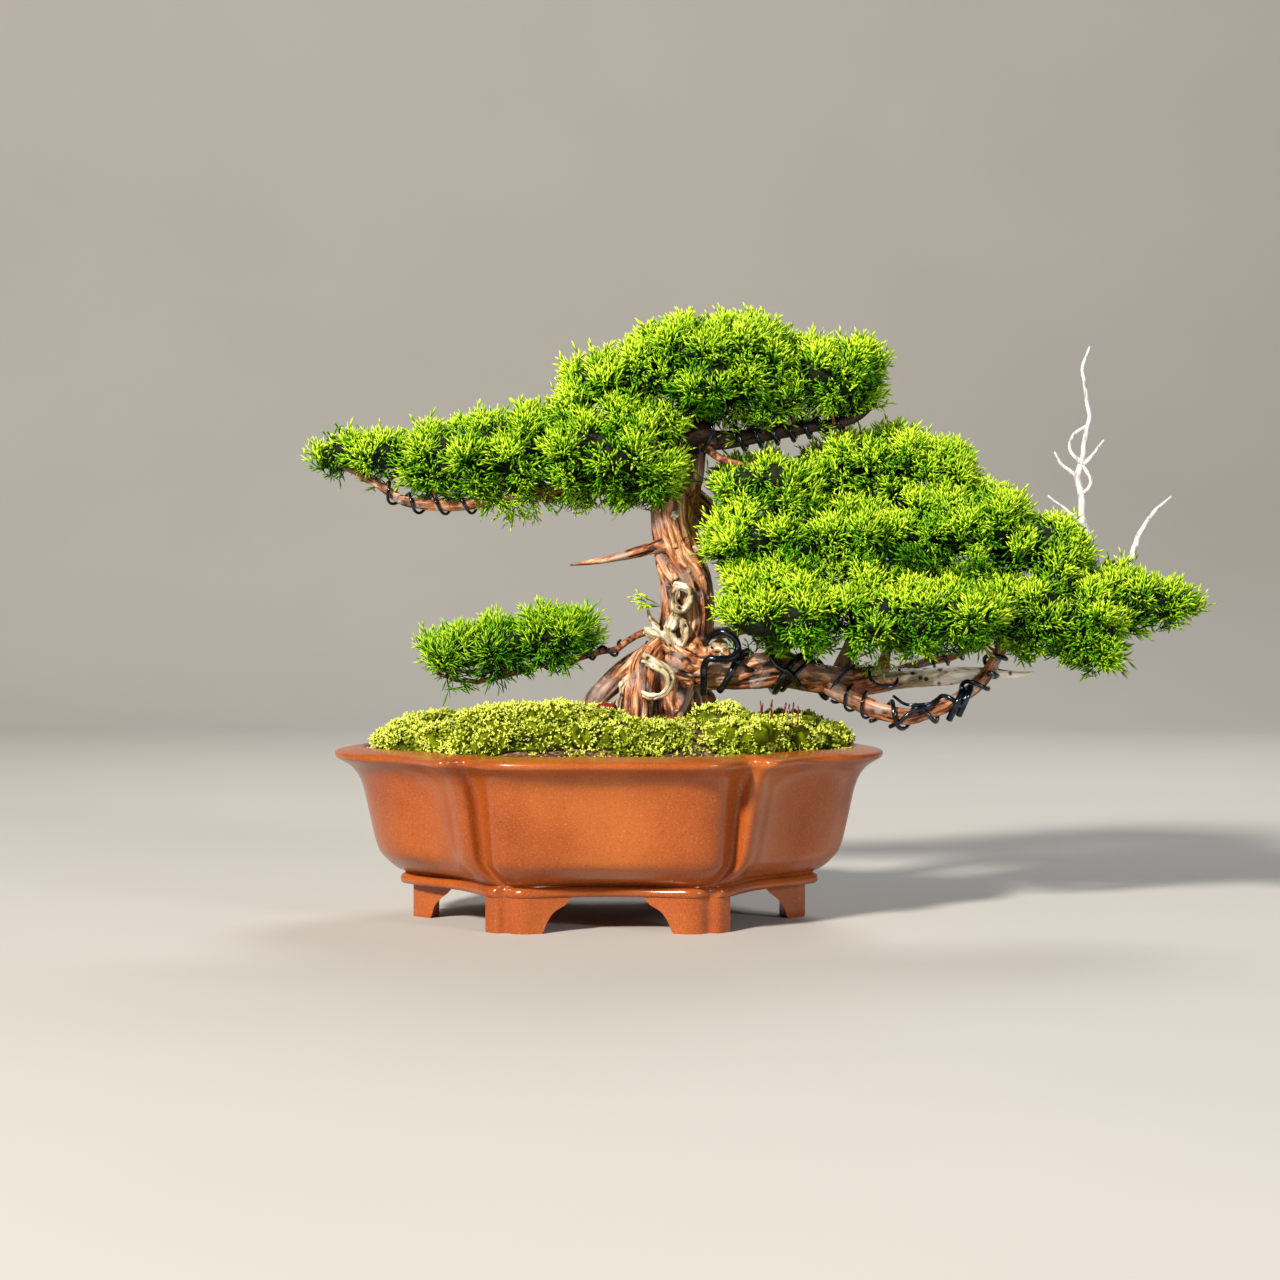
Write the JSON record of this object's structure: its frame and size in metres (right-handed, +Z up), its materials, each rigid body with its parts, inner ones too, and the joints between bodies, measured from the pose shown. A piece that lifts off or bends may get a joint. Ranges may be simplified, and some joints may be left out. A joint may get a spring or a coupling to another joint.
{
  "type": "potted shimpaku juniper bonsai",
  "caption": "Wired juniper bonsai with a low heavy limb, bleached deadwood and layered foliage pads, planted in moss in a lobed clay pot on feet.",
  "frame": {"origin": "bottom centre of the bounding box, on the surface that the pot's feet stand on", "axes": "+Z up, +X along the pot's long side towards the low limb, +Y away from the front"},
  "size_m": [0.633, 0.302, 0.43],
  "materials": {
    "unglazed_clay": "satin",
    "bark_and_deadwood": "matte",
    "foliage": "matte",
    "moss": "matte",
    "soil": "matte",
    "training_wire": "satin",
    "tie_wire": "satin",
    "screen_mesh": "matte"
  },
  "bodies": {
    "root": {"pot": "unglazed_clay", "trunk_and_branches": "bark_and_deadwood", "soil": "soil", "wire_limb_heavy": "training_wire", "wire_limb_second": "training_wire", "wire_side_branch": "training_wire", "wire_left_branch": "training_wire", "wire_apex_branch": "training_wire", "wire_lower_left": "training_wire", "drain_screen_left": "screen_mesh", "drain_screen_right": "screen_mesh", "drain_screen_clip_left": "tie_wire", "drain_screen_clip_right": "tie_wire", "tie_wire_left": "tie_wire", "tie_wire_right": "tie_wire", "foliage_left_tip": "foliage", "foliage_left_branch": "foliage", "foliage_left_inner": "foliage", "foliage_apex_left": "foliage", "foliage_apex_crown": "foliage", "foliage_apex_right": "foliage", "foliage_small": "foliage", "foliage_right_upper": "foliage", "foliage_right_middle": "foliage", "foliage_right_shoulder": "foliage", "foliage_front_row_left": "foliage", "foliage_front_row_right": "foliage", "foliage_right_slope": "foliage", "foliage_right_tip": "foliage", "foliage_lower_left": "foliage", "foliage_back_low": "foliage", "foliage_back_high": "foliage", "moss_front": "moss", "moss_left": "moss", "moss_right_front": "moss", "moss_middle": "moss", "moss_right": "moss", "moss_back": "moss"}
  },
  "joints": []
}
